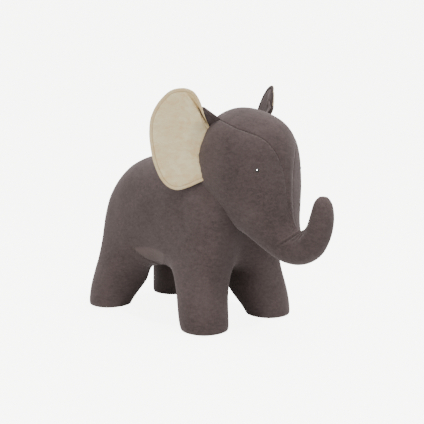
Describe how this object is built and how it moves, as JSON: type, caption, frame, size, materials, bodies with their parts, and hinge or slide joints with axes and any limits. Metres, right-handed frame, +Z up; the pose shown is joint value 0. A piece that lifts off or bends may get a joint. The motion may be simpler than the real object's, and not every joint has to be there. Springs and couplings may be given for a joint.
{
  "type": "stuffed elephant stool",
  "caption": "Upholstered elephant-shaped stool: a taut grey suede body on four flat-soled legs, large cream-faced ears, an upturned trunk, a short tail and a timber frame inside.",
  "frame": {"origin": "on the floor and on the body's mid-plane, at the centre of the bounding box to within 3 mm", "axes": "+Z up; the elephant faces -Y; its left side is at +X and its right side at -X"},
  "size_m": [0.3866, 0.7336, 0.6103],
  "materials": {
    "grey_suede": "matte suede-like velour, fine short nap",
    "cream_suede": "matte suede-like velour, fine short nap",
    "foam": "open-cell foam, hidden",
    "pine": "planed, unfinished, hidden",
    "plywood": "plywood, hidden",
    "steel": "zinc-plated screw",
    "black_gloss": "polished bead",
    "black_plastic": "moulded"
  },
  "bodies": {
    "stool": {"frame_rail_left": "pine", "frame_rail_right": "pine", "frame_cross_front": "pine", "frame_cross_rear": "pine", "neck_post": "pine", "leg_post_front_left": "pine", "leg_post_front_right": "pine", "leg_post_rear_left": "pine", "leg_post_rear_right": "pine", "seat_board": "plywood", "seat_screw_front_left": "steel", "seat_screw_front_right": "steel", "seat_screw_rear_left": "steel", "seat_screw_rear_right": "steel", "neck_screw_left": "steel", "neck_screw_right": "steel", "torso_foam_left": "foam", "torso_foam_right": "foam", "leg_foam_front_left": "foam", "leg_foam_front_right": "foam", "leg_foam_rear_left": "foam", "leg_foam_rear_right": "foam", "head_foam_left": "foam", "head_foam_right": "foam", "body_cover": "grey_suede", "belly_panel": "grey_suede", "sole_front_left": "grey_suede", "sole_front_right": "grey_suede", "sole_rear_left": "grey_suede", "sole_rear_right": "grey_suede", "head_side_left": "grey_suede", "head_side_right": "grey_suede", "head_gusset": "grey_suede", "ear_roll_left": "grey_suede", "ear_roll_right": "grey_suede", "eye_left": "black_gloss", "eye_right": "black_gloss", "eye_washer_left": "black_plastic", "eye_washer_right": "black_plastic", "foot_glide_front_left": "black_plastic", "foot_glide_front_right": "black_plastic", "foot_glide_rear_left": "black_plastic", "foot_glide_rear_right": "black_plastic"},
    "right_ear": {"ear_front_right": "cream_suede", "ear_back_right": "grey_suede", "ear_wadding_right": "foam"},
    "left_ear": {"ear_front_left": "cream_suede", "ear_back_left": "grey_suede", "ear_wadding_left": "foam"},
    "trunk": {"trunk_foam": "foam", "trunk_cover": "grey_suede"},
    "tail": {"tail": "grey_suede"}
  },
  "joints": [
    {"name": "right_ear_flex", "type": "hinge", "parent": "stool", "child": "right_ear", "pos_m": [-0.1145, -0.0584, 0.385], "axis": [0.0797, 0.0057, 0.9968], "range_deg": [-25, 20], "stiffness_Nm_per_rad": 0.4},
    {"name": "left_ear_flex", "type": "hinge", "parent": "stool", "child": "left_ear", "pos_m": [0.116, -0.0704, 0.403], "axis": [0.0797, -0.0057, -0.9968], "range_deg": [-25, 20], "stiffness_Nm_per_rad": 0.4},
    {"name": "trunk_flex", "type": "hinge", "parent": "stool", "child": "trunk", "pos_m": [0, -0.235, 0.225], "axis": [-1, 0, 0], "range_deg": [-12, 15], "stiffness_Nm_per_rad": 8},
    {"name": "tail_flex", "type": "hinge", "parent": "stool", "child": "tail", "pos_m": [0, 0.3385, 0.334], "axis": [1, 0, 0], "range_deg": [0, 60], "stiffness_Nm_per_rad": 0.03}
  ]
}
